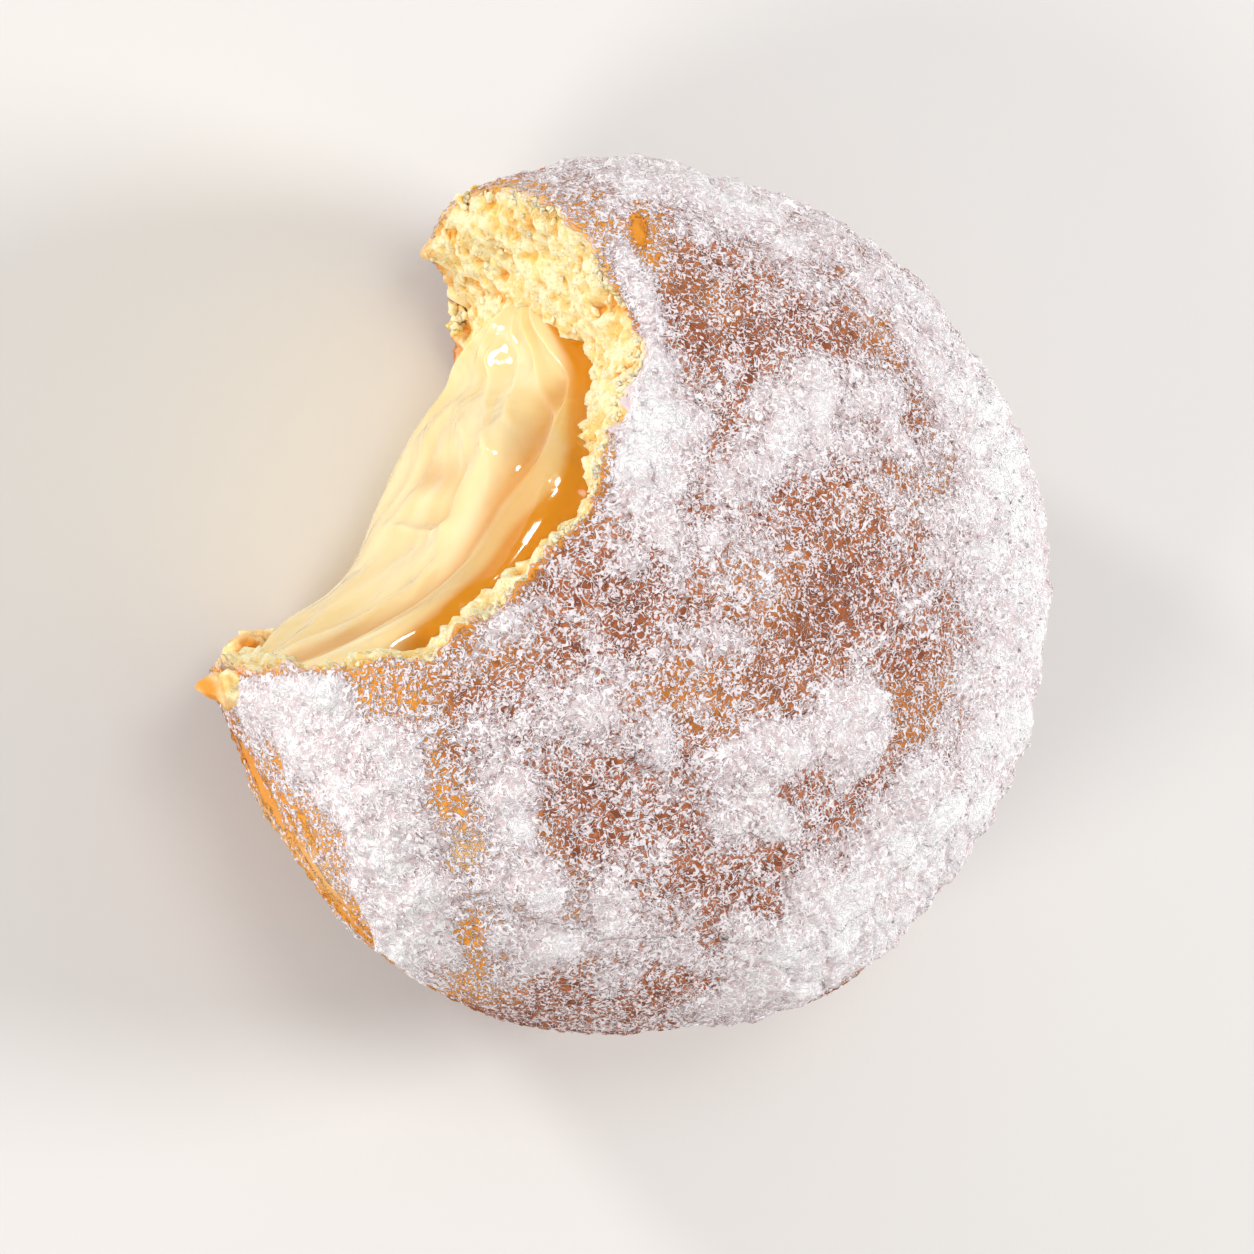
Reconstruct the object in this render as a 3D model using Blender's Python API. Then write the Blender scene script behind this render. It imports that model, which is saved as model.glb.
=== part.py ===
"""A round custard-filled doughnut that lies flat, with one large bite taken out of its side.

The dough is one solid: a squashed, slightly lumpy ball with a flat foot, less the bite and less the pocket
that the custard sits in. The custard is a second solid, which runs from deep inside that pocket out through
the bite's wall. The origin is the middle of the flat foot, on the doughnut's own axis, and +Z is up.
"""
import math

import bmesh
import bpy
from mathutils import Vector, noise

MM = 0.001

# The ball of dough
RADIUS = 44.0 * MM
FOOT_TO_WAIST = 23.0 * MM  # height of the widest ring
WAIST_TO_TOP = 25.0 * MM
WAIST_TO_KEEL = 25.0 * MM  # deeper than the foot, which cuts the ball off flat
FULLNESS = 2.4  # 2 is an ellipsoid, and more is boxier
DOUGH_CELLS = 22  # cells along each edge of the cube that is swollen into the ball
CELL_SQUASH = 0.75  # flattens the rays through those cells, so that the faces come out about equal

# Swells and flats of the outline seen from above: azimuth and spread in degrees, height
OUTLINE_SWELLS = (
    (15, 12, 0.4 * MM),
    (55, 16, 0.9 * MM),
    (76, 12, -0.7 * MM),
    (205, 24, -2.5 * MM),
    (258, 16, -0.8 * MM),
    (294, 11, 0.8 * MM),
    (311, 10, -0.9 * MM),
    (328, 12, 0.6 * MM),
)
# Unevenness of the fried skin: wavelength, height
SKIN_LUMPS = ((24 * MM, 0.8 * MM), (10 * MM, 0.35 * MM))

# Thick drifts of powdered sugar that lift the top: middle seen from above, reach along and across the drift,
# turn in degrees, height
DRIFTS = (
    ((10 * MM, 17 * MM), 11 * MM, 5 * MM, 0, 0.9 * MM),
    ((-4 * MM, 15 * MM), 5 * MM, 5 * MM, 0, 0.9 * MM),
    ((9 * MM, -15 * MM), 9 * MM, 6 * MM, 20, 1.1 * MM),
    ((-10 * MM, -13 * MM), 7 * MM, 4 * MM, -45, 0.7 * MM),
    ((-18 * MM, -22 * MM), 3 * MM, 7 * MM, 0, 0.8 * MM),
    ((-34 * MM, -16 * MM), 8 * MM, 5 * MM, -35, 0.6 * MM),
    ((-8 * MM, -34 * MM), 9 * MM, 4 * MM, 0, 0.6 * MM),
    ((20 * MM, -31 * MM), 14 * MM, 6 * MM, 38, 0.9 * MM),
    ((33 * MM, 2 * MM), 5 * MM, 18 * MM, 0, 0.7 * MM),
)

# The bite: an upright wall round an axis that stands outside the dough. Bearings are degrees round it
BITE_AXIS = Vector((-41.4 * MM, 23.6 * MM))
BITE_RADIUS = 33.7 * MM  # at the level of the dough's top
WALL_LEAN = 4.5 * MM  # how much further the wall's foot reaches than its top
EAR_LEAN = 6.0 * MM  # extra lean of the corner that is left at the bite's far end
EAR_FROM, EAR_TO = 12, 36  # bearings
EAR_FLARE, FLARE_FROM = 3.2 * MM, 26  # the wall turns outwards at that corner
SCALLOP_AT, SCALLOP_SPREAD, SCALLOP_DEPTH = -2, 9, 1.9 * MM  # one deeper tooth mark
WALL_FROM, WALL_TO = -106, 50  # bearings between which the wall meets the dough
WALL_STEPS = 52
WALL_ROWS = 28
OPEN_STEPS = 9  # steps round the rest of the cutter, outside the dough
CUTTER_CLEAR = 9.0 * MM  # how far the cutter passes above and below the dough
CRAGS = ((11 * MM, 0.9 * MM), (4.5 * MM, 0.8 * MM))  # torn crumb: wavelength, height

# The custard: sections swept round the bite's axis, through the wall
CUSTARD_FROM, CUSTARD_TO = -86, 13.5  # bearings
CUSTARD_STEPS = 42
SECTION_POINTS = 32
CRUMB_ABOVE = 2.6 * MM  # dough over the custard
CRUMB_ABOVE_TIP = 19.5 * MM  # over its narrow upper end
CRUMB_BELOW = 4.5 * MM  # dough under the custard
CRUMB_BELOW_TIP = 15.0 * MM
TOP_DROPS_FROM, FLOOR_RISES_FROM = -28, 0  # bearings at which the custard narrows towards that end
SEAT = 3.0 * MM  # the sections' middle lies this far inside the wall
POCKET_DEPTH = 16.0 * MM  # and the back of the pocket this much deeper
SQUARENESS = 3.0  # of the sections: 2 is an ellipse, and more is boxier
BULGE_LEAST, BULGE_MOST = 2.8 * MM, 7.4 * MM  # how far the custard stands out of the wall
BULGE_AT, BULGE_SPREAD = -19, 30  # bearings
SAG = 0.2  # how much fuller the bulge is in its lower half
BLUNTNESS = 5.0  # of the two ends
# Folds along the custard: angle round the section at the bulge, climb along the sweep, spread, height
FOLDS = (
    (40, -0.35, 12, -1.2 * MM),
    (8, -0.30, 13, 0.8 * MM),
    (-22, -0.55, 11, -0.7 * MM),
)
CLEARANCE = 0.35 * MM  # gap all round between custard and dough

# Torn bits of crust at the bite's near end: root, tip, width, thickness
FLAKES = (
    (Vector((-38.8, -10.6, 27.0)) * MM, Vector((-44.3, -9.7, 23.5)) * MM, 4.6 * MM, 2.4 * MM),
    (Vector((-33.2, -6.2, 9.0)) * MM, Vector((-37.8, -4.9, 10.0)) * MM, 5.0 * MM, 2.6 * MM),
)

CRUST_COLOUR = (0.60, 0.27, 0.09, 1.0)
CUSTARD_COLOUR = (0.93, 0.70, 0.28, 1.0)
CRUST_ROUGHNESS = 0.75
CUSTARD_ROUGHNESS = 0.2


def bell(x, middle, spread):
    return math.exp(-(((x - middle) / spread) ** 2))


def ease(x, start, end):
    """0 before start, 1 after end, smooth between."""
    t = min(max((x - start) / (end - start), 0.0), 1.0)
    return t * t * (3 - 2 * t)


def bearing_gap(a, b):
    """The difference of two bearings in degrees, from -180 to 180."""
    return (a - b + 180) % 360 - 180


def lumps(point, layers):
    """Smooth noise of about the layers' heights at their wavelengths, summed."""
    return sum(height * noise.noise(point / wave) * 1.6 for wave, height in layers)


def skin_height(x, y, above):
    """Height of the even ball's skin at (x, y), on its upper or its lower side."""
    share = max(1 - (math.hypot(x, y) / RADIUS) ** FULLNESS, 0.0) ** (1 / FULLNESS)
    return FOOT_TO_WAIST + (WAIST_TO_TOP if above else -WAIST_TO_KEEL) * share


def drift_height(x, y):
    """How far the sugar drifts lift the top at (x, y)."""
    height = 0.0
    for (middle_x, middle_y), along, across, turn, lift in DRIFTS:
        c, s = math.cos(math.radians(turn)), math.sin(math.radians(turn))
        u = (c * (x - middle_x) + s * (y - middle_y)) / along
        v = (c * (y - middle_y) - s * (x - middle_x)) / across
        height += lift * math.exp(-((u * u + v * v) ** 1.5))
    return height


def ball_point(ray):
    """The dough's skin along a ray from the middle of its waist."""
    flat = Vector((ray.x, ray.y)).length
    depth = WAIST_TO_TOP if ray.z > 0 else WAIST_TO_KEEL
    reach = ((flat / RADIUS) ** FULLNESS + (abs(ray.z) / depth) ** FULLNESS) ** (-1 / FULLNESS)
    point = ray * reach
    azimuth = math.degrees(math.atan2(ray.y, ray.x))
    swell = sum(h * bell(bearing_gap(azimuth, at), 0, spread) for at, spread, h in OUTLINE_SWELLS)
    out = point.normalized()
    point += out * (swell * (flat * reach / RADIUS) ** 2 + lumps(point, SKIN_LUMPS))
    if ray.z > 0:
        point += out * drift_height(point.x, point.y) * ease(ray.z / ray.length, 0.0, 0.3)
    point.z = max(point.z + FOOT_TO_WAIST, 0.0)
    return point


def wall_radius(bearing, z):
    """Distance of the bite's even wall from the bite's axis."""
    lean = WALL_LEAN + EAR_LEAN * ease(bearing, EAR_FROM, EAR_TO)
    below_top = 1 - z / (FOOT_TO_WAIST + WAIST_TO_TOP)
    mouth = BITE_RADIUS + EAR_FLARE * ease(bearing, FLARE_FROM, EAR_TO)
    return mouth - lean * below_top + SCALLOP_DEPTH * bell(bearing, SCALLOP_AT, SCALLOP_SPREAD)


def round_bite(bearing, radius, z):
    """The point at this bearing and radius round the bite's axis."""
    a = math.radians(bearing)
    return Vector((BITE_AXIS.x + radius * math.cos(a), BITE_AXIS.y + radius * math.sin(a), z))


def wall_point(bearing, z):
    """The torn wall of the bite."""
    radius = wall_radius(bearing, z)
    return round_bite(bearing, radius + lumps(round_bite(bearing, radius, z), CRAGS), z)


def boxed(x):
    """A sine or cosine pushed outwards, which turns a circle into a rounded box."""
    return math.copysign(abs(x) ** (2 / SQUARENESS), x)


def custard_section(share, grown):
    """One closed section of the custard, share of the way along its sweep, grown by a gap."""
    bearing = CUSTARD_FROM + (CUSTARD_TO - CUSTARD_FROM) * share
    blunt = max(1 - abs(2 * share - 1) ** BLUNTNESS, 0.0) ** 0.5
    rim = round_bite(bearing, wall_radius(bearing, FOOT_TO_WAIST), 0)
    drop = ease(bearing, TOP_DROPS_FROM, CUSTARD_TO)
    rise = ease(bearing, FLOOR_RISES_FROM, CUSTARD_TO)
    top = skin_height(rim.x, rim.y, True) - CRUMB_ABOVE - (CRUMB_ABOVE_TIP - CRUMB_ABOVE) * drop
    bottom = max(skin_height(rim.x, rim.y, False), 0.0) + CRUMB_BELOW + (CRUMB_BELOW_TIP - CRUMB_BELOW) * rise
    middle, half = (top + bottom) / 2, (top - bottom) / 2 * blunt + grown
    out = SEAT + BULGE_LEAST + (BULGE_MOST - BULGE_LEAST) * bell(bearing, BULGE_AT, BULGE_SPREAD)
    points = []
    for i in range(SECTION_POINTS):
        angle = 360 * i / SECTION_POINTS
        c, s = boxed(math.cos(math.radians(angle))), boxed(math.sin(math.radians(angle)))
        z = middle + half * s
        if c > 0:
            inwards = out * blunt * c * (1 - SAG * s)
            for at, climb, spread, height in FOLDS:
                crest = at + climb * (bearing - BULGE_AT)
                inwards += height * blunt * bell(bearing_gap(angle, crest), 0, spread)
        else:
            inwards = POCKET_DEPTH * blunt * c
        inwards += grown * c
        points.append(round_bite(bearing, wall_radius(bearing, z) + SEAT - inwards, z))
    return points


def new_object(name, mesh_maker):
    """An object of this name whose mesh mesh_maker fills in."""
    mesh = bpy.data.meshes.new(name)
    bm = bmesh.new()
    mesh_maker(bm)
    bmesh.ops.recalc_face_normals(bm, faces=bm.faces)
    bm.to_mesh(mesh)
    bm.free()
    made = bpy.data.objects.new(name, mesh)
    bpy.context.scene.collection.objects.link(made)
    return made


def helper(made):
    """Marks an object that only cuts or joins others."""
    made.hide_render = True
    made.display_type = "WIRE"
    return made


def fill_ball(bm):
    """A cube of even cells, swollen into the ball of dough."""
    bmesh.ops.create_cube(bm, size=2)
    bmesh.ops.subdivide_edges(bm, edges=bm.edges[:], cuts=DOUGH_CELLS - 1, use_grid_fill=True)
    for vert in bm.verts:
        ray = Vector(math.tan(c * math.pi / 4) for c in vert.co).normalized()
        ray.z *= CELL_SQUASH
        vert.co = ball_point(ray)


def fill_loft(bm, rings, tips=None):
    """A closed skin over rings of points. It ends in flat caps or, where tips are given, in two points."""
    loops = [[bm.verts.new(p) for p in ring] for ring in rings]
    for low, high in zip(loops, loops[1:]):
        for i, corner in enumerate(low):
            j = (i + 1) % len(low)
            bm.faces.new((corner, low[j], high[j], high[i]))
    for loop, tip in ((loops[0], tips and tips[0]), (loops[-1], tips and tips[1])):
        if tip is None:
            bm.faces.new(loop)
            continue
        point = bm.verts.new(tip)
        for i, corner in enumerate(loop):
            bm.faces.new((corner, loop[(i + 1) % len(loop)], point))


def fill_bite(bm):
    """The cutter: rows of points round the bite's axis, close together where the wall meets the dough."""
    span = WALL_TO - WALL_FROM
    near = [WALL_FROM + span * i / WALL_STEPS for i in range(WALL_STEPS)]
    far = [WALL_TO + (360 - span) * i / OPEN_STEPS for i in range(OPEN_STEPS)]
    height = FOOT_TO_WAIST + WAIST_TO_TOP + 2 * CUTTER_CLEAR
    rows = [-CUTTER_CLEAR + height * i / WALL_ROWS for i in range(WALL_ROWS + 1)]
    fill_loft(bm, [[wall_point(bearing, z) for bearing in near + far] for z in rows])


def custard_filler(grown):
    """The custard's own shape, or that shape grown by a gap on all sides."""

    def fill(bm):
        shares = [(1 - math.cos(math.pi * i / CUSTARD_STEPS)) / 2 for i in range(1, CUSTARD_STEPS)]
        rings = [custard_section(share, grown) for share in shares]
        tips = [sum(custard_section(end, 0.0), Vector()) / SECTION_POINTS for end in (0.0, 1.0)]
        for tip, ring in zip(tips, (rings[0], rings[-1])):
            middle = sum(ring, Vector()) / SECTION_POINTS
            tip += (tip - middle).normalized() * grown
        fill_loft(bm, rings, tips)

    return fill


def flake_filler(root, tip, width, thickness):
    """A pointed, slightly bent tongue of crust from root to tip."""

    def fill(bm):
        bmesh.ops.create_icosphere(bm, subdivisions=2, radius=1)
        along = tip - root
        side = along.cross(Vector((0, 0, 1))).normalized()
        up = side.cross(along).normalized()
        for vert in bm.verts:
            x, y, z = vert.co
            taper = 1 - 0.45 * (x + 1) / 2
            bend = 0.25 * thickness * (1 - x * x)
            vert.co = root.lerp(tip, (x + 1) / 2) + side * (y * width / 2 * taper) + up * (z * thickness / 2 + bend)
            vert.co += Vector.Fill(3, 1.0) * lumps(vert.co, ((2 * MM, 0.25 * MM),))

    return fill


def add_boolean(made, other, operation):
    modifier = made.modifiers.new(other.name, "BOOLEAN")
    modifier.operation = operation
    modifier.object = other


def finish(made, colour, roughness):
    """Gives a piece its material and smooth shading."""
    material = bpy.data.materials.new(made.name)
    material.use_nodes = True
    shader = material.node_tree.nodes["Principled BSDF"]
    shader.inputs["Base Color"].default_value = colour
    shader.inputs["Roughness"].default_value = roughness
    made.data.materials.append(material)
    made.data.shade_smooth()


def main():
    for old in list(bpy.data.objects):
        bpy.data.objects.remove(old)
    dough = new_object("dough", fill_ball)
    add_boolean(dough, helper(new_object("bite", fill_bite)), "DIFFERENCE")
    for number, flake in enumerate(FLAKES):
        add_boolean(dough, helper(new_object(f"flake_{number}", flake_filler(*flake))), "UNION")
    add_boolean(dough, helper(new_object("pocket", custard_filler(CLEARANCE))), "DIFFERENCE")
    custard = new_object("custard", custard_filler(0.0))
    finish(dough, CRUST_COLOUR, CRUST_ROUGHNESS)
    finish(custard, CUSTARD_COLOUR, CUSTARD_ROUGHNESS)


main()
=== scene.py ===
"""The looks of the bitten doughnut: crust, torn crumb, powdered sugar and wet custard, on a pale floor."""
import math

import bpy
import numpy as np
from mathutils import Matrix, Vector, noise


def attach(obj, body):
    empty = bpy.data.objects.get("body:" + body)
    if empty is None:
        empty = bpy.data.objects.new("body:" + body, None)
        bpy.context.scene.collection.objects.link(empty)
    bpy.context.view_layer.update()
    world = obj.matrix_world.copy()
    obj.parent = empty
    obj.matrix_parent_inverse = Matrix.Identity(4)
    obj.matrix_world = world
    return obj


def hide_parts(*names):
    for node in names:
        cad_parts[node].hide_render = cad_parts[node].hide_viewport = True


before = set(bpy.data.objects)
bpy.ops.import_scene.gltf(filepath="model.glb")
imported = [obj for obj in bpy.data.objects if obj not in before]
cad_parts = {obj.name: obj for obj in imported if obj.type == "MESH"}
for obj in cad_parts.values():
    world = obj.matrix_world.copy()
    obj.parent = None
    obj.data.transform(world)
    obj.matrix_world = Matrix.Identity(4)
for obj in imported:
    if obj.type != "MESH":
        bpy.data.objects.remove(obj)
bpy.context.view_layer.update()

MM = 0.001

# ---------------------------------------------------------------- the solids' own sizes, in millimetres
RADIUS, WAIST, TOP, KEEL, FULLNESS = 44.0, 23.0, 25.0, 25.0, 2.4
OUTLINE_SWELLS = (
    (15, 12, 0.4),
    (55, 16, 0.9),
    (76, 12, -0.7),
    (205, 24, -2.5),
    (258, 16, -0.8),
    (294, 11, 0.8),
    (311, 10, -0.9),
    (328, 12, 0.6),
)
SKIN_LUMPS = ((24, 0.8), (10, 0.35))
BITE_X, BITE_Y, BITE_RADIUS = -41.4, 23.6, 33.7
WALL_LEAN, EAR_LEAN, EAR_FROM, EAR_TO = 4.5, 6.0, 12, 36
EAR_FLARE, FLARE_FROM = 3.2, 26
SCALLOP_AT, SCALLOP_SPREAD, SCALLOP_DEPTH = -2, 9, 1.9
WALL_FROM, WALL_TO = -106, 50
CRAGS = ((11, 0.9), (4.5, 0.8))
CUSTARD_FROM, CUSTARD_TO = -86, 13.5
CRUMB_ABOVE, CRUMB_ABOVE_TIP, CRUMB_BELOW, CRUMB_BELOW_TIP = 2.6, 19.5, 4.5, 15.0
TOP_DROPS_FROM, FLOOR_RISES_FROM = -28, 0
SEAT, POCKET_DEPTH, SQUARENESS = 3.0, 16.0, 3.0
BULGE_LEAST, BULGE_MOST, BULGE_AT, BULGE_SPREAD = 2.8, 7.4, -19, 30
SAG, BLUNTNESS = 0.2, 5.0

# ---------------------------------------------------------------- powdered sugar
BASE_COVER, LEAST_COVER, COVER_SOFTNESS = 0.66, 0.42, 0.06
# Height at which the upper and the lower piece of the coat meet
SEAM = 40.0
GRAINS_TRIED = 6500
# A patch below this amount is bald: it also takes away the thinnest dusting
BALD_BELOW = -0.35
# Where the sugar lies thicker (+) or thinner (-):
# middle seen from above, reach along and across, turn, amount
PATCHES = (
    (10, 16, 14, 5.4, -6, 0.34),
    (18, 20, 6, 3, -12, 0.24),
    (-6.4, 13.6, 4, 6.4, 0, 0.85),
    (3.6, 17.5, 6, 1.2, 62, -0.3),
    (3.3, 10.5, 3.2, 4.5, 0, 0.2),
    (-6, 27, 8, 2.8, 95, 0.42),
    (-4, 6.5, 6, 3.6, 0, 0.22),
    (-2, 2.2, 5, 3, 0, 0.12),
    (13, -2.5, 5, 6.5, 0, -0.28),
    (26, 7, 3.5, 5, 0, 0.18),
    (16, -13.4, 4, 4.2, 0, 0.5),
    (8, -22, 6.5, 4, 0, 0.3),
    (24.5, -20.5, 6, 5, 0, 0.32),
    (7.5, -16, 7, 3.2, 8, 0.4),
    (2, -6, 5, 2.4, 5, 0.25),
    (-7, -13.5, 9, 2.6, -48, 0.17),
    (-20.5, -5.5, 6, 2.6, 45, 0.25),
    (-11.5, -14.5, 4, 3, 0, 0.2),
    (-19.5, -12.5, 3.2, 3.5, 0, -0.14),
    (-15, -13, 5, 6, 0, 0.15),
    (-18.5, -23, 9, 3.2, -72, 0.5),
    (-8, -32, 9, 5, -5, 0.25),
    (-27.5, -27, 9, 4.5, 100, 0.5),
    (-36, -15, 8, 6, -35, 0.55),
    (21, -31, 18, 6.5, 36, 0.68),
    (36, 0, 20, 8, 88, 0.6),
    (31, 20, 12, 5.5, 120, 0.55),
    (15, 36, 14, 5, -25, 0.4),
    (-2, 41, 9, 4, -8, 0.35),
    (2, 2, 5, 5, 0, 0.08),
    (4, -32, 5, 3, 0, 0.14),
    (3, 26.5, 8.5, 5, -5, -0.11),
    (16, 26, 5, 3, -20, -0.06),
    (25, 16, 7, 2.2, -62, -0.04),
    (24, -5.5, 4.5, 6, 10, -0.05),
    (22.5, -12, 2.6, 4, -10, -0.2),
    (-5, -4, 9, 6, 0, -0.06),
    (-7, -36.8, 16, 2.6, 3, 0.24),
    (-9.5, -37.5, 3, 2, 0, -0.2),
    (-24, -35, 4, 4.6, 20, 0.36),
    (-20.3, -34.5, 1.1, 2.2, 25, -0.4),
    (-30.5, -12.3, 2.4, 2.6, 0, -0.28),
    (-32, -18.5, 2.6, 3, 20, -0.2),
    (-9, 33, 4.5, 6, 15, -0.02),
    (-4.3, 34.9, 0.9, 2.3, -8, -1.2),
)
# Bands on the side that the sugar missed: bearing from the doughnut's middle, spread, lower and upper edge
BARE_SIDES = (
    (204, 9, 15, 22),
    (218, 14, 15, 29),
    (243, 12, 16, 25),
    (268, 17, 0, 24.5),
    (305, 13, 0, 29.5),
)


def rgb(r, g, b):
    """Linear colour from 0 to 255 screen values."""
    return tuple(((c / 255 + 0.055) / 1.055) ** 2.4 if c > 10 else c / 255 / 12.92 for c in (r, g, b)) + (1.0,)


def bell(x, middle, spread):
    return np.exp(-(((x - middle) / spread) ** 2))


def ease(x, start, end):
    t = np.clip((x - start) / (end - start), 0, 1)
    return t * t * (3 - 2 * t)


def turn_gap(a, b):
    return (a - b + 180) % 360 - 180


def noise_at(points, wave, shift=0.0):
    """Smooth noise, about -1 to 1, at points in millimetres."""
    return np.array([noise.noise(p) for p in (points / wave + shift).tolist()]) * 1.6


def worms_at(points, wave, shift=0.0):
    """1 along winding ridges, falling to 0 beside them."""
    return 1 - np.clip(np.abs(noise_at(points, wave, shift)) * 2.4, 0, 1)


def clumps_at(points, wave, shift=0.0):
    """Rounded lumps with sharp creases between them, about 0 on average."""
    return np.abs(noise_at(points, wave, shift)) - 0.3


def pores_at(points, cell, size, shift=0.0):
    """1 in the middle of round pores, 0 outside them."""
    spots = (points / cell + shift).tolist()
    return np.array([max(0.0, 1 - (noise.voronoi(p)[0][0] / size) ** 2) for p in spots])


# ---------------------------------------------------------------- shapes
def skin(rays):
    """Points of the bare fried skin along rays from the middle of the waist, relative to that middle."""
    x, y, z = rays.T
    flat = np.hypot(x, y)
    depth = np.where(z > 0, TOP, KEEL)
    reach = ((flat / RADIUS) ** FULLNESS + (np.abs(z) / depth) ** FULLNESS) ** (-1 / FULLNESS)
    p = rays * reach[:, None]
    azimuth = np.degrees(np.arctan2(y, x))
    swell = sum(h * bell(turn_gap(azimuth, at), 0, spread) for at, spread, h in OUTLINE_SWELLS)
    rise = swell * (flat * reach / RADIUS) ** 2
    for wave, height in SKIN_LUMPS:
        rise = rise + height * noise_at(p, wave)
    length = np.linalg.norm(p, axis=1)
    return p * (1 + rise / length)[:, None]


def wall_radius(bearing, z):
    lean = WALL_LEAN + EAR_LEAN * ease(bearing, EAR_FROM, EAR_TO)
    mouth = BITE_RADIUS + EAR_FLARE * ease(bearing, FLARE_FROM, EAR_TO)
    return mouth - lean * (1 - z / (WAIST + TOP)) + SCALLOP_DEPTH * bell(bearing, SCALLOP_AT, SCALLOP_SPREAD)


def round_bite(bearing, radius, z):
    a = np.radians(bearing)
    return np.stack(np.broadcast_arrays(BITE_X + radius * np.cos(a), BITE_Y + radius * np.sin(a), z), -1)


def behind_wall(p):
    """How far points lie behind the bite's smooth wall, and their bearings round the bite."""
    bearing = np.degrees(np.arctan2(p[:, 1] - BITE_Y, p[:, 0] - BITE_X))
    return np.hypot(p[:, 0] - BITE_X, p[:, 1] - BITE_Y) - wall_radius(bearing, p[:, 2]), bearing


def crags_at(p):
    return sum(h * noise_at(p, wave) for wave, h in CRAGS)


def lip_height(bearing):
    """Height of the skin where the bite's wall meets it."""
    rim = round_bite(bearing, wall_radius(bearing, WAIST + TOP * 0.7), 0)
    reach = np.minimum(np.hypot(rim[..., 0], rim[..., 1]), RADIUS - 0.1)
    return WAIST + TOP * (1 - (reach / RADIUS) ** FULLNESS) ** (1 / FULLNESS)


def sugar_cover(p):
    """How much sugar lies at points of the skin: 0 none, 0.5 a broken dusting, 1 and more a thick drift."""
    x, y, z = p.T
    cover = BASE_COVER + 0.11 * noise_at(p, 9, 3.1) + 0.15 * noise_at(p, 3.6, 8.7)
    bald = 0
    for mx, my, along, across, turn, amount in PATCHES:
        c, s = math.cos(math.radians(turn)), math.sin(math.radians(turn))
        u, v = (c * (x - mx) + s * (y - my)) / along, (c * (y - my) - s * (x - mx)) / across
        patch = amount * np.exp(-((u * u + v * v) ** 1.4)) * (z > WAIST - 8)
        if amount > BALD_BELOW:
            cover += patch
        else:
            bald = bald + patch
    # the thinnest dusting, which only the bald patches, the bare sides, the lip and the foot go below
    over_least = np.log1p(np.exp((cover - LEAST_COVER) / COVER_SOFTNESS)) * COVER_SOFTNESS
    cover = LEAST_COVER + over_least + bald
    azimuth = np.degrees(np.arctan2(y, x))
    bare = sum(
        bell(turn_gap(azimuth, at), 0, spread) * (1 - ease(z, high - 3, high + 3)) * ease(z, low - 3, low + 1)
        for at, spread, low, high in BARE_SIDES
    )
    # streaks that run round the side
    streaks = noise_at(np.stack([np.radians(azimuth) * RADIUS / 5, z / 1.3, z * 0], 1), 1.0, 6.5)
    cover -= np.clip(bare, 0, 1) * (np.maximum(0.66 + 0.85 * streaks, 0) + np.maximum(cover - 0.7, 0))
    gap, _ = behind_wall(p)
    cover -= 0.4 * np.exp(-((gap / 0.8) ** 2))
    return cover - 1.3 * (1 - ease(z, 2, 11))


def sugar_lumps(p, cover):
    """Relief of the sugar's own lumps and worms, in millimetres."""
    deep = ease(cover, 0.72, 1.2)
    thin = 0.24 * (worms_at(p, 1.6, 7.0) - 0.4) + 0.16 * clumps_at(p, 1.9, 4.0) + 0.10 * noise_at(p, 0.9, 5.0)
    thick = 0.90 * clumps_at(p, 4.4, 1.5) + 0.60 * clumps_at(p, 2.1, 11.5) + 0.45 * clumps_at(p, 1.2, 2.5)
    return np.tanh((thin + deep * (thick - thin)) / 0.8) * 0.8


def sugar_height(p, cover, lumps):
    """Height of the sugar over the skin. Where it is below 0 the crust is bare."""
    drift = 0.85 * ease(cover, 0.72, 1.2)
    return 0.12 + 0.22 * np.clip(cover, 0, 1) + drift + lumps - 1.5 * (1 - ease(cover, -0.35, 0.0))


def toast_at(p):
    """Browning of the crust: 0 pale yellow, 0.5 golden orange, 1 deep brown."""
    x, y, z = p.T
    azimuth = np.degrees(np.arctan2(y, x))
    toast = 0.84 + 0.2 * noise_at(p, 11, 5.5)
    toast -= 0.44 * bell(turn_gap(azimuth, 218), 0, 34) * ease(np.hypot(x, y), 22, 36)
    gap, bearing = behind_wall(p)
    ear = ease(bearing, 10, 30)
    toast -= (0.4 + 0.3 * ear) * np.exp(-np.clip(gap, 0, None) / (0.6 + 3.0 * ear))
    toast -= 0.5 * np.exp(-(((x + 6) / 5) ** 2 + ((y - 34) / 6) ** 2)) + 0.15 * ease(x, 8, 28)
    toast += 0.25 * bell(z, 4, 9)
    return np.clip(toast, 0, 1)


def plate(n, rows):
    """A square grid of n by n cells on top of rows of 4n points round it, closed below by a fan of triangles.
    Each row is (scale, height) on a cube from -1 to 1. Returns points and faces."""
    side = np.linspace(-1, 1, n + 1)
    top = [(x, y, 1.0) for y in side for x in side]
    edge = [(i, 0) for i in range(n)] + [(n, j) for j in range(n)]
    edge += [(n - i, n) for i in range(n)] + [(0, n - j) for j in range(n)]
    points = np.array(
        top + [(side[i] * s, side[j] * s, h) for s, h in rows for i, j in edge] + [(0, 0, rows[-1][1])], float
    )
    faces = []
    for j in range(n):
        for i in range(n):
            a = j * (n + 1) + i
            faces.append((a, a + n + 1, a + n + 2, a + 1))
    before = [j * (n + 1) + i for i, j in edge]
    start = (n + 1) ** 2
    for row in range(len(rows)):
        now = list(range(start + row * 4 * n, start + (row + 1) * 4 * n))
        for k in range(4 * n):
            m = (k + 1) % (4 * n)
            faces.append((before[m], now[m], now[k], before[k]))
        before = now
    last = len(points) - 1
    faces += [(before[(k + 1) % (4 * n)], last, before[k]) for k in range(4 * n)]
    return points, faces


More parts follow.
